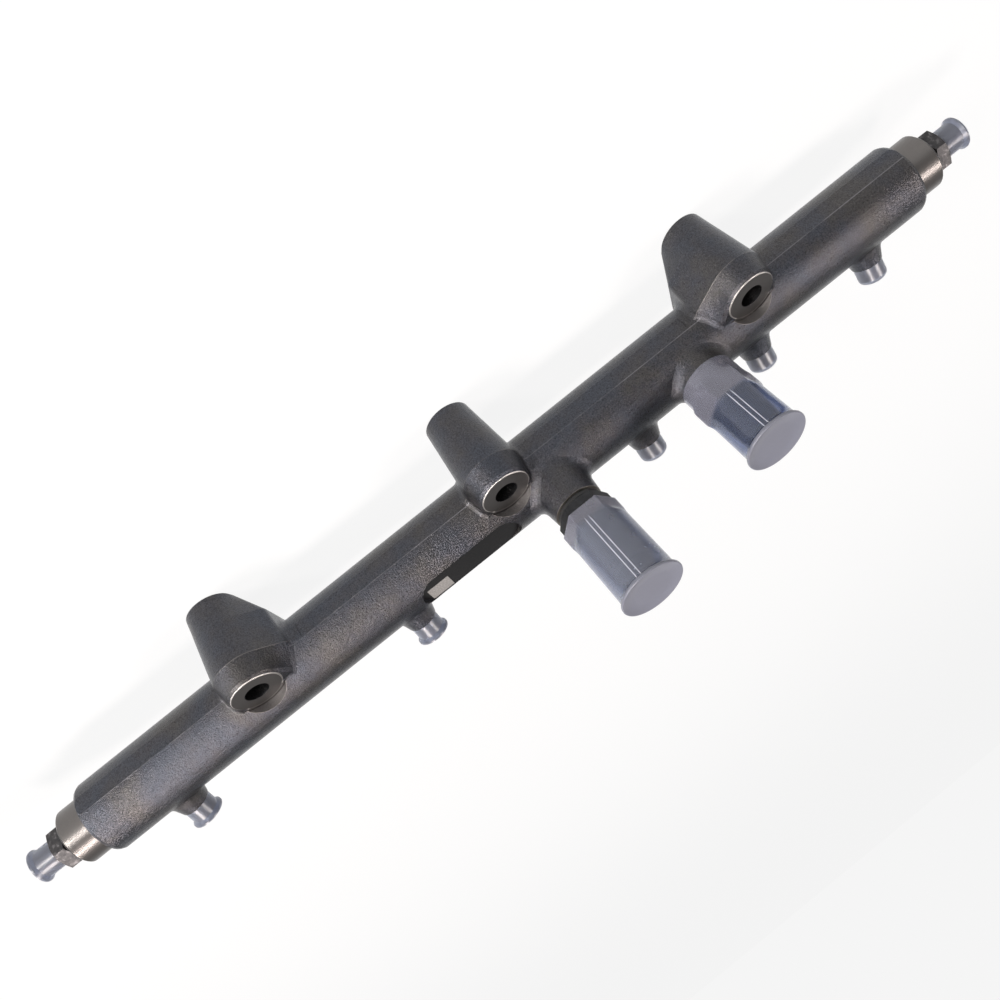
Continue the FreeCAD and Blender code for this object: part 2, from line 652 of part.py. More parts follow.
def small_cap(name, mouth, tip, flared):
    """Thin cap pushed over a thread, closed at its end."""
    inner = "(thread_radius + cap_clearance)"
    outer = "(thread_radius + cap_clearance + cap_wall)"
    end = "(%s + cap_overhang)" % tip
    if flared:
        corners = [
            (inner, mouth), (outer, mouth), (outer, end + " - cap_flare_length"),
            ("cap_flare_radius", end + " - cap_end_wall"), ("cap_flare_radius", end),
            (0, end), (0, end + " - cap_end_wall"),
            ("cap_flare_radius - 1.5 * cap_wall", end + " - cap_end_wall"),
            (inner, end + " - cap_flare_length")]
    else:
        corners = [
            (inner, mouth), (outer, mouth), (outer, end + " - cap_round"),
            (outer + " - 0.13 * cap_round", end + " - 0.5 * cap_round"),
            (outer + " - 0.5 * cap_round", end + " - 0.13 * cap_round"),
            (outer + " - cap_round", end), (0, end), (0, end + " - cap_end_wall"),
            (outer + " - cap_round - 0.1 * cap_wall", end + " - cap_end_wall"),
            (inner, end + " - cap_round")]
    return turned(name, corners)


rail_face = "(bar_half_length + spigot_length)"
union_left = end_union("Left", "-" + rail_face, -90)
union_right = end_union("Right", rail_face, 90)
washer_left = union_washer("Left", "-" + rail_face, -90)
washer_right = union_washer("Right", rail_face, 90)
union_mouth = union_top + " + union_collar_length + cap_mouth_gap"
cap_left = place(small_cap("CapLeft", union_mouth, union_tip, True), x="-" + rail_face,
                 y=RAIL_Y, z="axis_height", axis=Y_AXIS, angle=-90)
cap_right = place(small_cap("CapRight", union_mouth, union_tip, True), x=rail_face,
                  y=RAIL_Y, z="axis_height", axis=Y_AXIS, angle=90)

NODES = {"rail_forging": rail_forging, "end_union_left": union_left,
         "end_union_right": union_right, "union_washer_left": washer_left,
         "union_washer_right": washer_right, "end_cap_left": cap_left,
         "end_cap_right": cap_right}
for i, step in enumerate(PORTS):
    cap = small_cap("OutletCap%d" % (i + 1), "port_neck_reach + cap_mouth_gap",
                    "port_reach", i < 2)
    place(cap, x="%d * port_pitch + port_shift" % step, **PORT)
    NODES["outlet_cap_%d" % (i + 1)] = cap

# The relief valve: shank in the neck, seal ring, hexagon, round body and stepped tip.
valve_base = "(valve_neck_reach + seal_thickness)"
valve_hex_top = "(valve_neck_reach + seal_thickness + valve_hex_length)"
valve_shoulder = "(valve_neck_reach + seal_thickness + valve_hex_length + valve_body_length)"
valve_end = "(%s + valve_tip_length)" % valve_shoulder
valve_hex = hexagon("ValveHex", "valve_hex", valve_base, valve_hex_top)
valve_stem = turned("ValveStem", [
    (0, "socket_bottom + socket_floor_gap"),
    ("shank_radius - port_chamfer", "socket_bottom + socket_floor_gap"),
    ("shank_radius", "socket_bottom + socket_floor_gap + port_chamfer"),
    ("shank_radius", valve_base + " + 1"),
    ("valve_body_radius", valve_base + " + 1"),
    ("valve_body_radius", valve_shoulder + " - hex_chamfer"),
    ("valve_body_radius - hex_chamfer", valve_shoulder),
    ("valve_tip_radius", valve_shoulder),
    ("valve_tip_radius", valve_end + " - hex_chamfer"),
    ("valve_tip_radius - hex_chamfer", valve_end), (0, valve_end)])
valve_hole = turned("ValveHole", [
    (0, valve_end + " - plug_depth - 1"), ("plug_radius", valve_end + " - plug_depth - 1"),
    ("plug_radius", valve_end + " + 1"), (0, valve_end + " + 1")])
valve_inlet = turned("ValveInlet", [
    (0, 0), ("feed_radius", 0), ("feed_radius", "socket_bottom + socket_floor_gap + 6"),
    (0, "socket_bottom + socket_floor_gap + 8")])
valve_cuts = fuse("ValveCuts", [valve_hole, valve_inlet])
valve = cut("Valve", fuse("ValveSolid", [valve_hex, valve_stem]), valve_cuts)
place(valve, x="valve_x", **FITTING)
NODES["relief_valve_body"] = valve

plug_solid = turned("PlugSolid", [
    (0, valve_end + " - plug_depth - 1"), ("plug_radius", valve_end + " - plug_depth - 1"),
    ("plug_radius", valve_end + " - 1"), (0, valve_end + " - 1")])
plug_socket = prism("PlugSocket", "plug_key", "plug_depth * 0.6 + 1",
                    z=valve_end + " - 1 - plug_depth * 0.6")
plug = place(cut("Plug", plug_solid, plug_socket), x="valve_x", **FITTING)
NODES["relief_valve_plug"] = plug


def seal_ring(name, outer, low, high):
    """Ring of round outer edge between a neck and the piece screwed into it."""
    inner = "shank_radius + shank_clearance"
    edge = "0.25 * (%s - (%s))" % (high, low)
    return turned(name, [
        (inner, low), ("%s - %s" % (outer, edge), low), (outer, "%s + %s" % (low, edge)),
        (outer, "%s - %s" % (high, edge)), ("%s - %s" % (outer, edge), high),
        (inner, high)])


valve_seal = seal_ring("ValveSeal", "valve_seal_radius", "valve_neck_reach", valve_base)
place(valve_seal, x="valve_x", **FITTING)
NODES["relief_valve_seal"] = valve_seal

# The pressure sensor: shank, seal ring, flange, hexagon and a plastic connector.
sensor_base = "(sensor_neck_reach + sensor_seal_thickness)"
sensor_mid = "(sensor_neck_reach + sensor_seal_thickness + sensor_flange_length)"
sensor_top = "(%s + sensor_hex_length)" % sensor_mid
shell_top = "(%s + shell_length)" % sensor_top
sensor_hex = hexagon("SensorHex", "sensor_hex", sensor_mid, sensor_top)
sensor_stem = turned("SensorStem", [
    (0, "socket_bottom + socket_floor_gap"),
    ("shank_radius - port_chamfer", "socket_bottom + socket_floor_gap"),
    ("shank_radius", "socket_bottom + socket_floor_gap + port_chamfer"),
    ("shank_radius", sensor_base), ("sensor_flange_radius - 0.5", sensor_base),
    ("sensor_flange_radius", sensor_base + " + 0.5"),
    ("sensor_flange_radius", sensor_mid + " + 1"), (0, sensor_mid + " + 1")])
sensor_inlet = turned("SensorInlet", [
    (0, 0), ("feed_radius", 0), ("feed_radius", "socket_bottom + socket_floor_gap + 6"),
    (0, "socket_bottom + socket_floor_gap + 8")])
sensor = cut("Sensor", fuse("SensorSolid", [sensor_hex, sensor_stem]), sensor_inlet)
place(sensor, x="sensor_x", **FITTING)
NODES["pressure_sensor_body"] = sensor
sensor_seal = seal_ring("SensorSeal", "sensor_seal_radius", "sensor_neck_reach", sensor_base)
place(sensor_seal, x="sensor_x", **FITTING)
NODES["pressure_sensor_seal"] = sensor_seal

shell = turned("ConnectorShell", [
    (0, sensor_top), ("shell_radius", sensor_top),
    ("shell_radius", sensor_top + " + shell_wall"),
    ("shell_tip_radius", shell_top + " - 0.5"), ("shell_tip_radius - 0.5", shell_top),
    ("shell_tip_radius - shell_wall", shell_top),
    ("shell_tip_radius - shell_wall", sensor_top + " + shell_floor"),
    (0, sensor_top + " + shell_floor")])
blade_low = sensor_top + " + shell_wall"
blade_top = "(%s + shell_floor + blade_length)" % sensor_top
slots = []
for i in range(3):
    slots.append(box("BladeSlot%d" % (i + 1), "blade_width", "blade_thickness",
                     "shell_floor - shell_wall + 1",
                     x="%d * blade_pitch - blade_width / 2" % (i - 1),
                     y="-blade_thickness / 2", z=blade_low))
connector = cut("Connector", shell, fuse("BladeSlots", slots))
place(connector, x="sensor_x", **FITTING)
NODES["sensor_connector_shell"] = connector
for i in range(3):
    blade = prismatic("Contact%d" % (i + 1), [
        ("%d * blade_pitch - blade_width / 2" % (i - 1), blade_low),
        ("%d * blade_pitch + blade_width / 2" % (i - 1), blade_low),
        ("%d * blade_pitch + blade_width / 2" % (i - 1), blade_top + " - blade_width / 2"),
        ("%d * blade_pitch + blade_width / 4" % (i - 1), blade_top),
        ("%d * blade_pitch - blade_width / 4" % (i - 1), blade_top),
        ("%d * blade_pitch - blade_width / 2" % (i - 1), blade_top + " - blade_width / 2")],
        "blade_thickness")
    place(blade, x="sensor_x", **FITTING)
    NODES["sensor_contact_%d" % (i + 1)] = blade


valve_hood_start = "(%s - valve_hood_grip)" % valve_hex_top
sensor_hood_start = "(sensor_neck_reach + sensor_hood_gap)"


def hood(name, start, flats, hex_low, hex_high, mouth):
    """Large thin cap stretched over a hexagon, with a flanged closed end."""
    grip = "((%s) / 2 / cos(30) + hood_clearance + hood_wall)" % flats
    end = "(%s + hood_length)" % start
    skin = "hood_wall"
    profile = [(mouth, start)]
    if mouth != grip:
        profile.append((grip, "%s - 1" % hex_low))
    profile += [
        (grip, "%s + 0.5" % hex_high), ("hood_radius", "%s + 6" % hex_high),
        ("hood_radius", end + " - hood_flange_thickness - 2"),
        ("hood_flange_radius", end + " - hood_flange_thickness"),
        ("hood_flange_radius", end)]
    outer = list(profile)
    outer += [("hood_flange_radius - 1.3", end),
              ("hood_flange_radius - 1.9", end + " - hood_recess"),
              (0, end + " - hood_recess")]
    inner = [("%s - %s" % (a, skin), b) for a, b in profile[:-2]]
    inner.append(("hood_radius - %s" % skin, end + " - hood_flange_thickness"))
    inner.reverse()
    return turned(name, outer + [(0, end + " - hood_flange_thickness")] + inner)


valve_grip = "((valve_hex) / 2 / cos(30) + hood_clearance + hood_wall)"
valve_hood = hood("ValveHood", valve_hood_start, "valve_hex", valve_base,
                  valve_hex_top, valve_grip)
place(valve_hood, x="valve_x", **FITTING)
NODES["relief_valve_cap"] = valve_hood
sensor_hood = hood("SensorHood", sensor_hood_start, "sensor_hex", sensor_mid,
                   sensor_top, "hood_radius")
place(sensor_hood, x="sensor_x", **FITTING)
NODES["pressure_sensor_cap"] = sensor_hood

for label, thing in NODES.items():
    thing.Label = label
doc.recompute()
for thing in doc.Objects:
    if "Invalid" in thing.State or "Error" in thing.State:
        raise RuntimeError("%s failed: %s" % (thing.Name, thing.State))
os.makedirs("parts", exist_ok=True)
for label, thing in NODES.items():
    shape = thing.Shape
    if shape.isNull() or not shape.isValid():
        raise RuntimeError(label + " has no valid shape")
for label, thing in NODES.items():
    shape = thing.Shape
    print(label, "solids", len(shape.Solids), "volume", round(shape.Volume, 1))
    shape.exportStep("parts/%s.step" % label)
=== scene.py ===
"""Look of the fuel manifold: camera, floor, light, finishes, and the pieces and threads
that the solids leave out. Lengths are millimetres, save where a line multiplies by MM or
a comment says metres."""

import math

import bpy
from mathutils import Matrix, Vector


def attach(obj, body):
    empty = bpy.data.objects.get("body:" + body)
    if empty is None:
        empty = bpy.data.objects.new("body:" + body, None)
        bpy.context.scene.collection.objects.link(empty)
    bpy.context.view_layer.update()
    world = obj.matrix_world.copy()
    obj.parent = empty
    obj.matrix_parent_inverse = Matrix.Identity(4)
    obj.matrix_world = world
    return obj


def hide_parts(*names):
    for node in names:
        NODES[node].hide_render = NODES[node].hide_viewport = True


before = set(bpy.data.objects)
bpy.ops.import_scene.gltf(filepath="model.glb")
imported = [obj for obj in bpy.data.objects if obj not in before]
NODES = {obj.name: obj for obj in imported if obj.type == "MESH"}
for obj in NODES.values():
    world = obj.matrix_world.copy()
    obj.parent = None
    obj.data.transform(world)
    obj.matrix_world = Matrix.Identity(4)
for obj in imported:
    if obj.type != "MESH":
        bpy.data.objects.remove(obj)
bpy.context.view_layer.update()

# Places and sizes of the rail, as its solids have them.
MM = 0.001
RAIL = Vector((0, -25.6, 42.0))
FITTING_TILT = -6.6
OUTLET_TILT = 53.0
VALVE_X = 24.9
SENSOR_X = 119.3
TOWER_PITCH = 160.0
OUTLET_COUNT = 5
OUTLET_PITCH = 78.5
OUTLET_MIDDLE = 1.0
THREAD_PITCH = 1.5
SPIGOT_START = 273.3
SEAT_HEIGHT = 55.3
THREAD_START = 27.7
NIPPLE_START = 300.3
VALVE_FACE = 35.1
MILLED_FLAT = 18.0
FAR = 400


# Camera: a fit of the rail's own features in the photograph. Its clip ends are metres.
EYE = Vector((-17.23, 427.79, 282.98))
RIGHT = Vector((0.78035, -0.27502, 0.56161))
UP = Vector((0.62483, 0.37930, -0.68244))
BACK = Vector((-0.02533, 0.88346, 0.46783))
camera = bpy.data.objects.new("Camera", bpy.data.cameras.new("Camera"))
bpy.context.scene.collection.objects.link(camera)
facing = Matrix((RIGHT, UP, BACK)).transposed().to_4x4()
camera.matrix_world = Matrix.Translation(EYE * MM) @ facing
camera.data.lens = 34.58
camera.data.sensor_width = 36.0
camera.data.clip_start = 0.02
camera.data.clip_end = 400.0
bpy.context.scene.camera = camera
bpy.context.scene.view_settings.view_transform = "Standard"


# Finishes.
def shade(text):
    """An sRGB hex colour as linear RGBA."""
    parts = [int(text[i:i + 2], 16) / 255 for i in (1, 3, 5)]
    return tuple(p / 12.92 if p <= 0.04045 else ((p + 0.055) / 1.055) ** 2.4
                 for p in parts) + (1.0,)


def add(tree, kind, links=(), stops=(), **settings):
    """A node with its settings, its inputs (a value or another node's output) and,
    for a colour ramp, its stops. Inputs that share a name go by number: in a Mix, 0 is the
    factor, 2 and 3 are its numbers, and 6 and 7 are its colours."""
    made = tree.nodes.new(kind)
    for name, setting in settings.items():
        setattr(made, name, setting)
    for place, colour in stops[:1] + stops[-1:]:
        end = made.color_ramp.elements[0 if (place, colour) == stops[0] else -1]
        end.position = place
        end.color = colour
    for place, colour in stops[1:-1]:
        made.color_ramp.elements.new(place).color = colour
    for name, source in links:
        if isinstance(source, bpy.types.NodeSocket):
            tree.links.new(source, made.inputs[name])
        else:
            made.inputs[name].default_value = source
    return made


def finish(name):
    """A new material: its tree, its shader and Object coordinates in mm."""
    material = bpy.data.materials.new(name)
    material.use_nodes = True
    tree = material.node_tree
    shader = tree.nodes["Principled BSDF"]
    where = add(tree, "ShaderNodeTexCoord").outputs["Object"]
    mm = add(tree, "ShaderNodeMapping", [("Vector", where), ("Scale", (1000, 1000, 1000))])
    return material, tree, shader, mm.outputs["Vector"]


def put(shader, **values):
    """Set a shader's own sockets; an underscore stands for a space in a socket's name."""
    for name, number in values.items():
        shader.inputs[name.replace("_", " ")].default_value = number


def turned_frame(tilt):
    """Rotation and location that bring mm coordinates to a fitting's own axis."""
    matrix = Matrix.Rotation(math.radians(-tilt), 4, "X") @ Matrix.Translation(-RAIL)
    return [("Rotation", (math.radians(-tilt), 0, 0)), ("Location", matrix.to_translation())]


def thread_relief(tree, beside, across, along):
    """The height of a helix about an axis: 0 in its valleys, half the pitch on its crests."""
    around = add(tree, "ShaderNodeMath", [(0, beside), (1, across)], operation="ARCTAN2")
    lead = add(tree, "ShaderNodeMath", [(0, around.outputs[0]),
                                        (1, THREAD_PITCH / (2 * math.pi)), (2, along)],
               operation="MULTIPLY_ADD")
    return add(tree, "ShaderNodeMath", [(0, lead.outputs[0]), (1, THREAD_PITCH / 2)],
               operation="PINGPONG").outputs[0]


# Forged steel, shot-blasted and lightly oiled: a dark grey skin with a fine satin grain,
# bluish where the scale is thicker. The turned ends, seats and threads are cut through
# that skin.
forged, tree, shader, mm = finish("forged_steel_shot_blasted")
fitting = add(tree, "ShaderNodeMapping", [("Vector", mm)] + turned_frame(FITTING_TILT))
outlet = add(tree, "ShaderNodeMapping", [("Vector", mm)] + turned_frame(OUTLET_TILT))
own = add(tree, "ShaderNodeSeparateXYZ", [("Vector", mm)])
fit = add(tree, "ShaderNodeSeparateXYZ", [("Vector", fitting.outputs[0])])
out = add(tree, "ShaderNodeSeparateXYZ", [("Vector", outlet.outputs[0])])
# coordinates of the rail, of its fittings and of its outlets
size = {"y": own.outputs["Y"], "z": own.outputs["Z"], "fitting z": fit.outputs["Z"],
        "outlet z": out.outputs["Z"]}
# distances to either side of the rail's middle and of the fittings' and outlets' planes
for key, source, axis in (("off x", own, "X"), ("off fitting y", fit, "Y"),
                          ("off outlet y", out, "Y")):
    size[key] = add(tree, "ShaderNodeMath", [(0, source.outputs[axis])],
                    operation="ABSOLUTE").outputs[0]
# distance from the nearest bolt's axis
bay = add(tree, "ShaderNodeMath", [(0, own.outputs["X"]), (1, TOWER_PITCH / 2),
                                   (2, -TOWER_PITCH / 2)], operation="WRAP")
near = add(tree, "ShaderNodeCombineXYZ", [("X", bay.outputs[0]), ("Y", own.outputs["Y"])])
size["off bolt"] = add(tree, "ShaderNodeVectorMath", [(0, near.outputs[0])],
                       operation="LENGTH").outputs["Value"]
# each cut or worn surface, with painted highlights on the seat edge and the trim edge and
# painted shade in the bolt hole: its colour, its roughness, and where it is, which is where
# all its limits hold, each (coordinate, low, high)
CUTS = {
    "turned end": ("#6C6967", 0.30, [("off x", SPIGOT_START, FAR)]),
    "bolt seat": ("#5C5A59", 0.38, [("z", SEAT_HEIGHT - 0.1, SEAT_HEIGHT + 0.1),
                                    ("off bolt", 0, 17)]),
    # painted highlight: the seat's cut chamfer, painted far paler than the other cuts
    "seat edge highlight": ("#C4C1BE", 0.36, [("z", SEAT_HEIGHT - 0.6, SEAT_HEIGHT - 0.05),
                                    ("off bolt", 13.5, 14.3)]),
    "spotface wall": ("#6A6766", 0.40, [("z", SEAT_HEIGHT + 0.1, 62), ("off bolt", 0, 15.8)]),
    # painted shade: the bolt bores painted near black, as shade falls in them
    "bolt hole shade": ("#1E1E1F", 0.45, [("off bolt", 0, 6.65), ("z", -1, 60)]),
    "foot": ("#77716B", 0.34, [("z", -1, 0.04)]),
    "thread": ("#292B31", 0.55, [("outlet z", THREAD_START, 40), ("off outlet y", -1, 8)]),
    "valve face": ("#A8A49E", 0.30, [("fitting z", VALVE_FACE, 60)]),
    # painted highlight: a pale line along the trim flat's edge, where the steel is also worn
    "trim edge highlight": ("#767478", 0.32, [("off fitting y", 20.1, 21.5), ("fitting z", 4.55, 5.05)]),
    "parting line": ("#6F6B69", 0.36, [("z", 41.75, 42.2), ("y", -4.2, 60),
                                       ("off bolt", 13, 40)]),
}
SOFT_EDGE = 0.08
masks = {}
for cut, (tone, roughness, limits) in CUTS.items():
    masks[cut] = None
    for key, low, high in limits:
        rise = add(tree, "ShaderNodeMapRange", [("Value", size[key]),
                                                ("From Min", low - SOFT_EDGE),
                                                ("From Max", low + SOFT_EDGE)])
        fall = add(tree, "ShaderNodeMapRange", [("Value", size[key]),
                                                ("From Min", high - SOFT_EDGE),
                                                ("From Max", high + SOFT_EDGE),
                                                ("To Min", 1.0), ("To Max", 0.0)])
        held = add(tree, "ShaderNodeMath", [(0, rise.outputs[0]), (1, fall.outputs[0])],
                   operation="MULTIPLY")
        if masks[cut] is not None:
            held = add(tree, "ShaderNodeMath", [(0, masks[cut]), (1, held.outputs[0])],
                       operation="MULTIPLY")
        masks[cut] = held.outputs[0]
# skin: patches 20 to 40 mm across, with specks of 0.8 mm
patches = add(tree, "ShaderNodeTexNoise", [("Vector", mm), ("Scale", 0.035), ("Detail", 4.0),
                                           ("Roughness", 0.6)])
skin = add(tree, "ShaderNodeValToRGB", [("Fac", patches.outputs["Fac"])],
           stops=[(0.36, shade("#3A3D45")), (0.50, shade("#3D3D42")), (0.64, shade("#424040"))])
specks = add(tree, "ShaderNodeTexNoise", [("Vector", mm), ("Scale", 1.3), ("Detail", 2.0),
                                          ("Roughness", 0.8)])
speck_tone = add(tree, "ShaderNodeValToRGB", [("Fac", specks.outputs["Fac"])],
                 stops=[(0.34, (0.55, 0.55, 0.55, 1)), (0.66, (1.45, 1.45, 1.44, 1))])
grained = add(tree, "ShaderNodeMix", [(0, 1.0), (6, skin.outputs[0]),
                                      (7, speck_tone.outputs[0])],
              data_type="RGBA", blend_type="MULTIPLY")
colour = grained.outputs[2]
satin = add(tree, "ShaderNodeMapRange", [("Value", specks.outputs["Fac"]), ("From Min", 0.3),
                                         ("From Max", 0.7), ("To Min", 0.27), ("To Max", 0.40)])
gloss = satin.outputs[0]
# the painted highlight and the wear on the trim edge, and the worn parting line, come and go
# along their length
patchy = add(tree, "ShaderNodeMapRange", [("Value", patches.outputs["Fac"]),
                                          ("From Min", 0.40), ("From Max", 0.62),
                                          ("To Min", 0.2), ("To Max", 0.8)])
for edge in ("trim edge highlight", "parting line"):
    masks[edge] = add(tree, "ShaderNodeMath", [(0, masks[edge]), (1, patchy.outputs[0])],
                      operation="MULTIPLY").outputs[0]
for cut, (tone, roughness, limits) in CUTS.items():
    colour = add(tree, "ShaderNodeMix", [(0, masks[cut]), (6, colour), (7, shade(tone))],
                 data_type="RGBA").outputs[2]
    gloss = add(tree, "ShaderNodeMix", [(0, masks[cut]), (2, gloss), (3, roughness)],
                data_type="FLOAT").outputs[0]
# the outlets' threads, each about its own axis, with painted shade darkening their valleys
cell = add(tree, "ShaderNodeMath", [(0, out.outputs["X"]),
                                    (1, OUTLET_MIDDLE + OUTLET_PITCH / 2),
                                    (2, OUTLET_MIDDLE - OUTLET_PITCH / 2)], operation="WRAP")
centred = add(tree, "ShaderNodeMath", [(0, cell.outputs[0]), (1, OUTLET_MIDDLE)],
              operation="SUBTRACT")
flank = thread_relief(tree, out.outputs["Y"], centred.outputs[0], out.outputs["Z"])
valley_shade = add(tree, "ShaderNodeMapRange", [("Value", flank), ("From Min", 0.2),
                                          ("From Max", 0.5), ("To Min", 0.75), ("To Max", 0.0)])
held = add(tree, "ShaderNodeMath", [(0, valley_shade.outputs[0]), (1, masks["thread"])],
           operation="MULTIPLY")
# painted shade: near black in the thread valleys
colour = add(tree, "ShaderNodeMix", [(0, held.outputs[0]), (6, colour), (7, shade("#0E0F12"))],
             data_type="RGBA").outputs[2]
tree.links.new(colour, shader.inputs["Base Color"])
tree.links.new(gloss, shader.inputs["Roughness"])
put(shader, Metallic=0.92, Coat_Roughness=0.22, Coat_IOR=1.47)
# the blasted skin is what no tool has cut, and it carries a thin film of oil
blasted = 1.0
for cut in ("turned end", "bolt seat", "thread", "valve face", "foot"):
    blasted = add(tree, "ShaderNodeMath", [(0, blasted), (1, masks[cut])],
                  operation="SUBTRACT", use_clamp=True).outputs[0]
oil = add(tree, "ShaderNodeMath", [(0, blasted), (1, 0.38)], operation="MULTIPLY")
tree.links.new(oil.outputs[0], shader.inputs["Coat Weight"])
# tool rings on the turned ends, drawn 0.8 mm apart, coarser than the real ones, to show
rings = add(tree, "ShaderNodeTexWave", [("Vector", mm), ("Scale", 0.4), ("Distortion", 0.3),
                                        ("Detail", 1.0)], bands_direction="X")
dents = add(tree, "ShaderNodeTexNoise", [("Vector", mm), ("Scale", 0.16), ("Detail", 2.0)])
# relief, laid one over another: blast grain, drawn 0.8 mm coarse so that it shows, dents
# 6 mm across, the threads, and the rings; each (height, where, strength, depth)
relief = None
for height, where, strength, depth in (
        (specks.outputs["Fac"], blasted, 1.0, 0.34), (dents.outputs["Fac"], blasted, 0.35, 0.8),
        (flank, masks["thread"], 1.0, 1.0), (rings.outputs["Fac"], masks["turned end"], 0.5, 0.1)):
    lifted = add(tree, "ShaderNodeMath", [(0, height), (1, where)], operation="MULTIPLY")
    bump = add(tree, "ShaderNodeBump", [("Strength", strength), ("Distance", depth * MM),
                                        ("Height", lifted.outputs[0])])
    if relief is not None:
        tree.links.new(relief, bump.inputs["Normal"])
    relief = bump.outputs[0]
for surface in ("Normal", "Coat Normal"):
    tree.links.new(relief, shader.inputs[surface])


# Steel with a black phosphate skin, oiled: near black, soft sheen, scuffed grey where
# a spanner has touched it.
phosphated, tree, shader, mm = finish("phosphated_steel_oiled")
scuffs = add(tree, "ShaderNodeTexNoise", [("Vector", mm), ("Scale", 0.35), ("Detail", 6.0),
                                          ("Roughness", 0.7)])
tone = add(tree, "ShaderNodeValToRGB", [("Fac", scuffs.outputs["Fac"])],
           stops=[(0.35, shade("#2A2A2C")), (0.55, shade("#3C3B3C")), (0.70, shade("#737173"))])
tree.links.new(tone.outputs[0], shader.inputs["Base Color"])
rough = add(tree, "ShaderNodeMapRange", [("Value", scuffs.outputs["Fac"]), ("To Min", 0.55),
                                         ("To Max", 0.35)])
tree.links.new(rough.outputs[0], shader.inputs["Roughness"])
crystal = add(tree, "ShaderNodeTexNoise", [("Vector", mm), ("Scale", 1.6), ("Detail", 2.0)])
bump = add(tree, "ShaderNodeBump", [("Strength", 0.3), ("Distance", 0.2 * MM),
                                    ("Height", crystal.outputs["Fac"])])
# the nipple's thread starts beyond the hexagon and its collar
own = add(tree, "ShaderNodeSeparateXYZ", [("Vector", mm)])
span = add(tree, "ShaderNodeMath", [(0, own.outputs["X"])], operation="ABSOLUTE")
beyond = add(tree, "ShaderNodeMapRange", [("Value", span.outputs[0]),
                                          ("From Min", NIPPLE_START),
                                          ("From Max", NIPPLE_START + 0.3)])
from_axis = add(tree, "ShaderNodeVectorMath", [(0, mm), (1, tuple(RAIL))], operation="SUBTRACT")
radial = add(tree, "ShaderNodeSeparateXYZ", [("Vector", from_axis.outputs[0])])
flank = thread_relief(tree, radial.outputs["Y"], radial.outputs["Z"], own.outputs["X"])
ridged = add(tree, "ShaderNodeMath", [(0, flank), (1, beyond.outputs[0])],
             operation="MULTIPLY")
threaded = add(tree, "ShaderNodeBump", [("Strength", 1.0), ("Distance", 0.5 * MM),
                                        ("Height", ridged.outputs[0]),
                                        ("Normal", bump.outputs[0])])
tree.links.new(threaded.outputs[0], shader.inputs["Normal"])
put(shader, Metallic=0.6)


# Steel with bright zinc-nickel plating: pale, fairly sharp reflections, a fine even
# grain.
plated, tree, shader, mm = finish("plated_steel_bright")
cloud = add(tree, "ShaderNodeTexNoise", [("Vector", mm), ("Scale", 0.25), ("Detail", 4.0)])
tone = add(tree, "ShaderNodeValToRGB", [("Fac", cloud.outputs["Fac"])],
           stops=[(0.3, shade("#6F7074")), (0.7, shade("#85858A"))])
tree.links.new(tone.outputs[0], shader.inputs["Base Color"])
fine = add(tree, "ShaderNodeTexNoise", [("Vector", mm), ("Scale", 2.0), ("Detail", 2.0)])
bump = add(tree, "ShaderNodeBump", [("Strength", 0.12), ("Distance", 0.2 * MM),
                                    ("Height", fine.outputs["Fac"])])
tree.links.new(bump.outputs[0], shader.inputs["Normal"])
put(shader, Metallic=1.0, Roughness=0.27)


def clouded(name, per_mm, detail, low, dark, pale, relief, **values):
    """A finish that drifts from one shade to another in clouds, so many to a millimetre,
    with the same clouds in relief at the strength given, if any."""
    material, tree, shader, mm = finish(name)
    cloud = add(tree, "ShaderNodeTexNoise", [("Vector", mm), ("Scale", per_mm),
                                             ("Detail", detail)])
    tone = add(tree, "ShaderNodeValToRGB", [("Fac", cloud.outputs["Fac"])],
               stops=[(low, shade(dark)), (0.7, shade(pale))])
    tree.links.new(tone.outputs[0], shader.inputs["Base Color"])
    if relief:
        bump = add(tree, "ShaderNodeBump", [("Strength", relief), ("Distance", 0.2 * MM),
                                            ("Height", cloud.outputs["Fac"])])
        tree.links.new(bump.outputs[0], shader.inputs["Normal"])
    put(shader, **values)
    return material


# Phosphated steel as on the unions, clean and darker: nothing has touched it.
valve_black = clouded("phosphated_steel_clean", 0.6, 4.0, 0.35, "#17181A", "#26272A", 0.3,
                      Metallic=0.5, Roughness=0.42)
# Soft iron sealing ring, blackened: dull, slightly brown.
soft_iron = clouded("soft_iron_blackened", 0.8, 4.0, 0.3, "#2B2725", "#4A423C", 0.3,
                    Metallic=0.7, Roughness=0.45)
# Moulded nitrile rubber: black, matt with a soft edge light.
rubber = clouded("nitrile_rubber_moulded", 1.2, 3.0, 0.3, "#121213", "#1D1D1F", 0.2,
                 Roughness=0.55)
# Glass-filled nylon, moulded: very dark navy, satin with a faint fibre grain.
nylon = clouded("nylon_glass_filled", 1.5, 3.0, 0.3, "#10151D", "#1B222C", 0.15,
                Roughness=0.38)
# Tinned brass contact: pale, softly bright.
tinned = clouded("tinned_brass", 0.9, 3.0, 0.3, "#B9B3A4", "#CFCABE", 0,
                 Metallic=1.0, Roughness=0.3)
# Baked black lacquer on the milled flat: deep, even, half gloss, with fine dust nibs.
lacquer = clouded("black_lacquer_baked", 0.9, 3.0, 0.35, "#0D0D0E", "#1A191A", 0.15,
                  Roughness=0.28, Specular_IOR_Level=0.12)
# The same lacquer frosted by a laser: pale grey, matt.
frosted = clouded("lacquer_laser_frosted", 1.2, 3.0, 0.35, "#6E6D6C", "#8B8A88", 0,
                  Roughness=0.6)


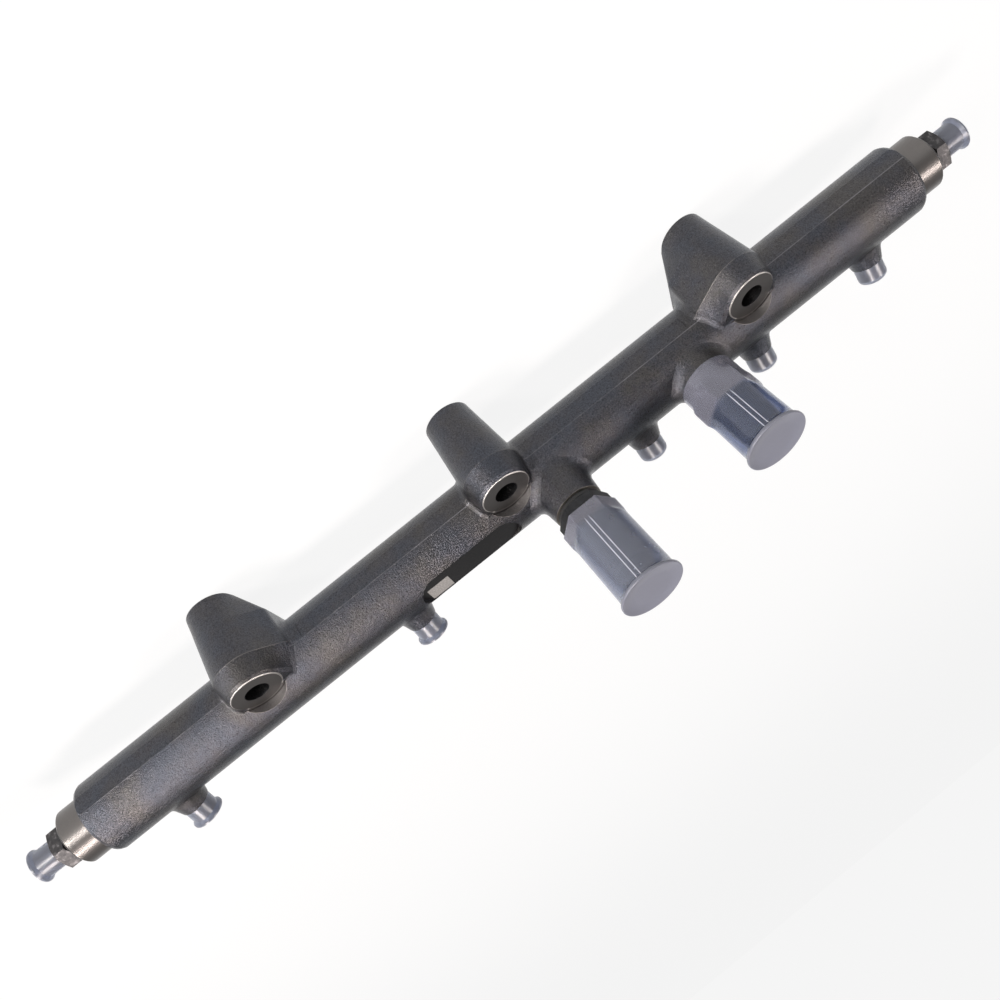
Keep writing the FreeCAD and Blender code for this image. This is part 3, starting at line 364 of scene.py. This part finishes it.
# Low-density polyethylene, thin moulded: clear to milky, a faint blue-grey, soft
# waxy highlights, with slight waves from the mould, 8 mm across.
def polyethylene(kind, tint, clear, haze):
    """A cap's material, how much light goes through it and how much it blurs that."""
    cap, tree, shader, mm = finish("polyethylene_moulded_" + kind)
    waves = add(tree, "ShaderNodeTexNoise", [("Vector", mm), ("Scale", 0.12), ("Detail", 2.0)])
    blur = add(tree, "ShaderNodeMapRange", [("Value", waves.outputs["Fac"]), ("From Min", 0.3),
                                            ("From Max", 0.7), ("To Min", haze),
                                            ("To Max", haze + 0.06)])
    tree.links.new(blur.outputs[0], shader.inputs["Roughness"])
    bump = add(tree, "ShaderNodeBump", [("Strength", 0.25), ("Distance", 0.6 * MM),
                                        ("Height", waves.outputs["Fac"])])
    tree.links.new(bump.outputs[0], shader.inputs["Normal"])
    put(shader, Base_Color=shade(tint), Transmission_Weight=clear, IOR=1.49)
    return cap, tree, shader, mm


# Two painted reflections of lamps, thin pale lines, run down the clear wall of a
# large cap, 9 degrees apart.
REFLECTIONS_AT = math.radians(98)
REFLECTION_OFF = math.radians(4.5)
REFLECTION_CORE = math.radians(0.2)
REFLECTION_EDGE = math.radians(1.5)


def stretched(kind, tint, clear, haze, x, shoulder):
    """A large cap's material: milky where it is stretched over a hexagon, clearer beyond
    its shoulder."""
    cap, tree, shader, mm = polyethylene(kind, tint, clear, haze)
    fitting = add(tree, "ShaderNodeMapping", [("Vector", mm)] + turned_frame(FITTING_TILT))
    own = add(tree, "ShaderNodeSeparateXYZ", [("Vector", fitting.outputs[0])])
    beyond = add(tree, "ShaderNodeMapRange", [("Value", own.outputs["Z"]),
                                              ("From Min", shoulder - 2.0),
                                              ("From Max", shoulder + 1.5)])
    off = add(tree, "ShaderNodeMath", [(0, own.outputs["X"]), (1, x)], operation="SUBTRACT")
    angle = add(tree, "ShaderNodeMath", [(0, own.outputs["Y"]), (1, off.outputs[0])],
                operation="ARCTAN2")
    for away in (REFLECTIONS_AT, REFLECTION_OFF):
        angle = add(tree, "ShaderNodeMath", [(0, angle.outputs[0]), (1, away)],
                    operation="SUBTRACT")
        angle = add(tree, "ShaderNodeMath", [(0, angle.outputs[0])], operation="ABSOLUTE")
    painted_reflection = add(tree, "ShaderNodeMapRange", [("Value", angle.outputs[0]),
                                              ("From Min", REFLECTION_CORE),
                                              ("From Max", REFLECTION_EDGE),
                                              ("To Min", 0.8), ("To Max", 0.0)])
    painted_reflection = add(tree, "ShaderNodeMath", [(0, painted_reflection.outputs[0]), (1, beyond.outputs[0])],
                 operation="MULTIPLY")
    wall = add(tree, "ShaderNodeMix", [(0, beyond.outputs[0]), (6, shade("#A0A2B1")),
                                       (7, shade(tint))], data_type="RGBA")
    # the painted reflections: pale and less clear along those lines
    tone = add(tree, "ShaderNodeMix", [(0, painted_reflection.outputs[0]), (6, wall.outputs[2]),
                                       (7, shade("#DDE0E8"))], data_type="RGBA")
    tree.links.new(tone.outputs[2], shader.inputs["Base Color"])
    through = add(tree, "ShaderNodeMapRange", [("Value", beyond.outputs[0]),
                                               ("To Min", 0.72), ("To Max", clear)])
    through = add(tree, "ShaderNodeMix", [(0, painted_reflection.outputs[0]), (2, through.outputs[0]),
                                          (3, 0.25)], data_type="FLOAT")
    tree.links.new(through.outputs[0], shader.inputs["Transmission Weight"])
    return cap


clear_valve = stretched("valve", "#A1A9BD", 0.80, 0.22, VALVE_X, 52.0)
clear_sensor = stretched("sensor", "#94A0BE", 0.90, 0.12, SENSOR_X, 47.0)
clear_small = polyethylene("small", "#A9AFBF", 0.84, 0.28)[0]
clear_thick = polyethylene("thick", "#7B7E8B", 0.35, 0.30)[0]

FINISH = {
    "rail_forging": forged,
    "relief_valve_body": valve_black, "relief_valve_plug": valve_black,
    "relief_valve_seal": rubber, "relief_valve_cap": clear_valve,
    "pressure_sensor_body": plated, "pressure_sensor_seal": soft_iron,
    "pressure_sensor_cap": clear_sensor, "sensor_connector_shell": nylon,
    "sensor_contact_1": tinned, "sensor_contact_2": tinned, "sensor_contact_3": tinned,
}
for side in ("left", "right"):
    FINISH["end_union_" + side] = phosphated
    FINISH["union_washer_" + side] = soft_iron
    FINISH["end_cap_" + side] = clear_small
for number in range(1, OUTLET_COUNT + 1):
    FINISH["outlet_cap_%d" % number] = clear_small
for name, material in FINISH.items():
    slots = NODES[name].material_slots
    if not len(slots):
        NODES[name].data.materials.append(material)
    for slot in slots:
        slot.material = material


# Pieces.
def on_rail(x, tilt):
    """From a piece's own mm, with Z along its fitting, to metres in the rail's frame."""
    return (Matrix.Scale(MM, 4) @ Matrix.Translation(RAIL + Vector((x, 0, 0)))
            @ Matrix.Rotation(math.radians(tilt), 4, "X"))


def pick(piece):
    """Select this piece alone."""
    bpy.ops.object.select_all(action="DESELECT")
    piece.select_set(True)
    bpy.context.view_layer.objects.active = piece


def modify(piece, kind, **settings):
    """Add a modifier and apply it."""
    pick(piece)
    made = piece.modifiers.new(kind.title(), kind)
    for name, setting in settings.items():
        setattr(made, name, setting)
    bpy.ops.object.modifier_apply(modifier=made.name)


def settle(piece, place, materials, angle):
    """Put a piece modelled in mm about the origin where it belongs and finish it; edges
    flatter than the angle, in degrees, are smoothed."""
    piece.data.transform(place)
    pick(piece)
    bpy.ops.object.shade_smooth_by_angle(angle=math.radians(angle))
    for material in materials:
        piece.data.materials.append(material)
    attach(piece, "root")
    return piece


def raised(name, rings):
    """A skin raised ring by ring from a circle and closed at its end; rings are
    (radius, height). It is left open at the first ring."""
    bpy.ops.object.select_all(action="DESELECT")
    radius, height = rings[0]
    bpy.ops.mesh.primitive_circle_add(vertices=96, radius=radius, location=(0, 0, height))
    piece = bpy.context.object
    piece.name = name
    piece.data.name = name
    bpy.ops.object.transform_apply(location=True, rotation=True, scale=True)
    bpy.ops.object.mode_set(mode="EDIT")
    bpy.ops.mesh.select_all(action="SELECT")
    for wide, high in rings[1:]:
        bpy.ops.mesh.extrude_region_move(
            TRANSFORM_OT_translate={"value": (0, 0, high - height)})
        bpy.ops.transform.resize(value=(wide / radius, wide / radius, 1),
                                 center_override=(0, 0, high))
        radius, height = wide, high
    bpy.ops.mesh.edge_face_add()
    bpy.ops.mesh.inset(thickness=radius * 0.6)
    bpy.ops.mesh.select_all(action="SELECT")
    bpy.ops.mesh.normals_make_consistent(inside=False)
    bpy.ops.object.mode_set(mode="OBJECT")
    return piece


# Large caps: thin skins pushed over a hexagon, which squares up their mouths, with a
# rolled rim round the end and a shallow dish inside it.
# HEX_GAP is from a flat to the skin's outside, HEX_LEAD how far below the hexagon the
# skin starts to square up, SHOULDER how far above it the skin is round again.
CAP_LENGTH = 53.0
CAP_RADIUS = 16.1
CAP_FLARE = 0.25
CAP_WALL = 0.75
HEX_GAP = 0.95
HEX_LEAD = 4.0
SHOULDER = 6.0
# the rim and the dish: (radius, depth below the cap's end)
RIM = [(16.9, 2.6), (17.7, 2.0), (18.1, 1.3), (18.15, 0.5), (17.9, 0.0), (17.2, 0.05),
       (16.6, 0.55), (10.0, 0.7)]
RIM_FOOT = 3.7
THICK_FROM = 1.9


def large_cap(name, clear, x, mouth, hex_flats, hex_low, hex_high):
    """The cap of the fitting at x, from its mouth up, over a hexagon between two heights."""
    end = mouth + CAP_LENGTH
    lip = mouth + 0.5
    round_again = hex_high + SHOULDER
    wall_end = end - RIM_FOOT
    rings = [(CAP_RADIUS, mouth), (CAP_RADIUS, lip)]
    rings += [(CAP_RADIUS, lip + (hex_high - lip) * i / 10) for i in range(1, 11)]
    rings += [(CAP_RADIUS, hex_high + SHOULDER * i / 6) for i in range(1, 7)]
    rings += [(CAP_RADIUS + CAP_FLARE * i / 8, round_again + (wall_end - round_again) * i / 8)
              for i in range(1, 9)]
    rings += [(radius, end - depth) for radius, depth in RIM]
    cap = raised(name, rings)
    for spot in cap.data.vertices:
        across = math.hypot(spot.co.x, spot.co.y)
        sixth = math.atan2(spot.co.y, spot.co.x) % (math.pi / 3) - math.pi / 6
        flat = (hex_flats / 2 + HEX_GAP) / math.cos(sixth)
        lead = min(max((spot.co.z - hex_low + HEX_LEAD) / HEX_LEAD, 0), 1)
        fade = min(max((round_again - spot.co.z) / SHOULDER, 0), 1)
        share = lead * fade * fade * (3 - 2 * fade)
        grown = 1 + (flat / across - 1) * share
        spot.co.x *= grown
        spot.co.y *= grown
    modify(cap, "SOLIDIFY", thickness=CAP_WALL, offset=-1)
    modify(cap, "BEVEL", width=0.2, segments=2, angle_limit=math.radians(50))
    for face in cap.data.polygons:
        face.material_index = 1 if face.center.z > end - THICK_FROM else 0
    return settle(cap, on_rail(x, FITTING_TILT), [clear, clear_thick], 50)


valve_cap = large_cap("valve_cap_skin", clear_valve, VALVE_X, 44.1, 27.0, 38.4, 51.0)
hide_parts("relief_valve_cap")
sensor_cap = large_cap("sensor_cap_skin", clear_sensor, SENSOR_X, 24.4, 29.0, 35.6, 45.0)
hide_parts("pressure_sensor_cap")


# Lacquer on the milled flat, with one blank frosted field.
def field(name, left, right, low, high, corner, thickness, material):
    """A thin plate on the milled flat, from left to right in x and from low to high across
    it, with round corners."""
    bpy.ops.object.select_all(action="DESELECT")
    bpy.ops.mesh.primitive_plane_add(size=1, location=(0, 0, 0))
    plate = bpy.context.object
    plate.name = name
    plate.data.name = name
    plate.scale = (right - left, high - low, 1)
    plate.location = ((left + right) / 2, (low + high) / 2, MILLED_FLAT)
    bpy.ops.object.transform_apply(location=True, rotation=True, scale=True)
    bpy.ops.object.mode_set(mode="EDIT")
    bpy.ops.mesh.select_all(action="SELECT")
    bpy.ops.mesh.bevel(offset=corner, segments=12, affect="VERTICES")
    bpy.ops.mesh.select_all(action="SELECT")
    bpy.ops.mesh.extrude_region_move(TRANSFORM_OT_translate={"value": (0, 0, thickness)})
    bpy.ops.mesh.select_all(action="SELECT")
    bpy.ops.mesh.normals_make_consistent(inside=False)
    bpy.ops.object.mode_set(mode="OBJECT")
    return settle(plate, on_rail(0, 0), [material], 35)


field("label_lacquer", -68.1, -4.7, -9.9, 9.9, 9.85, 0.06, lacquer)
field("label_blank_field", -64.2, -50.7, -8.8, 3.0, 0.4, 0.08, frosted)


# Floor, light and background. Sizes here are metres.
FLOOR_SIZE = 300.0
FLOOR_GLOW = 0.88
HORIZON_LEVEL = 0.914
ROOM_LEVEL = 0.32
FILL_LEVEL = 0.25
AIM = Vector((0, -0.02, 0.04))
# a name, where it stands, its side, its watts and its colour
LAMPS = [
    ("side", (-1.75, 0.75, 0.45), 0.35, 18.0, "#FFFCFA"),
    ("top left", (-0.95, 0.20, 1.50), 0.45, 29.0, "#FFF4EF"),
    ("top right", (0.95, 0.20, 1.50), 0.45, 19.0, "#FFF4EF"),
    ("front left", (-1.05, 1.35, 0.75), 0.35, 21.0, "#FFF9F4"),
]


def seen_background(tree):
    """1 where the background is seen, straight or in metal or glass; 0 where it is light."""
    path = add(tree, "ShaderNodeLightPath")
    seen = path.outputs["Is Camera Ray"]
    for ray in ("Is Glossy Ray", "Is Transmission Ray"):
        seen = add(tree, "ShaderNodeMath", [(0, seen), (1, path.outputs[ray])],
                   operation="ADD").outputs[0]
    return seen


bpy.ops.object.select_all(action="DESELECT")
bpy.ops.mesh.primitive_plane_add(size=1, location=(0, 0, 0))
floor = bpy.context.object
floor.name = "floor"
floor.data.transform(Matrix.Scale(FLOOR_SIZE, 4))
paper = bpy.data.materials.new("paper_backdrop_matt")
paper.use_nodes = True
tree = paper.node_tree
tree.nodes.remove(tree.nodes["Principled BSDF"])
share = add(tree, "ShaderNodeMath", [(0, seen_background(tree)), (1, FLOOR_GLOW)],
            operation="MULTIPLY", use_clamp=True)
matt = add(tree, "ShaderNodeBsdfDiffuse", [("Color", shade("#D2D2D2"))])
glow = add(tree, "ShaderNodeEmission", [("Color", (1, 1, 1, 1)), ("Strength", 1.0)])
mixed = add(tree, "ShaderNodeMixShader", [(0, share.outputs[0]), (1, matt.outputs[0]),
                                          (2, glow.outputs[0])])
tree.links.new(mixed.outputs[0], tree.nodes["Material Output"].inputs["Surface"])
floor.data.materials.append(paper)

# a white surround up to 12 degrees above the floor, and a dim room over it
world = bpy.data.worlds.new("Studio")
world.use_nodes = True
tree = world.node_tree
toward = add(tree, "ShaderNodeTexCoord").outputs["Generated"]
height = add(tree, "ShaderNodeSeparateXYZ", [("Vector", toward)])
room = add(tree, "ShaderNodeMapRange", [("Value", height.outputs["Z"]), ("From Min", 0.2),
                                        ("From Max", 0.42), ("To Min", HORIZON_LEVEL),
                                        ("To Max", ROOM_LEVEL)])
level = add(tree, "ShaderNodeMix", [(0, seen_background(tree)), (2, FILL_LEVEL),
                                    (3, room.outputs[0])], data_type="FLOAT")
sky = tree.nodes["Background"]
sky.inputs["Color"].default_value = (1, 1, 1, 1)
tree.links.new(level.outputs[0], sky.inputs["Strength"])
bpy.context.scene.world = world

for name, place, side, watts, tint in LAMPS:
    lamp = bpy.data.objects.new(name, bpy.data.lights.new(name, "AREA"))
    bpy.context.scene.collection.objects.link(lamp)
    lamp.data.shape = "SQUARE"
    lamp.data.size = side
    lamp.data.energy = watts
    lamp.data.color = shade(tint)[:3]
    lamp.location = place
    lamp.rotation_euler = (AIM - lamp.location).to_track_quat("-Z", "Y").to_euler()
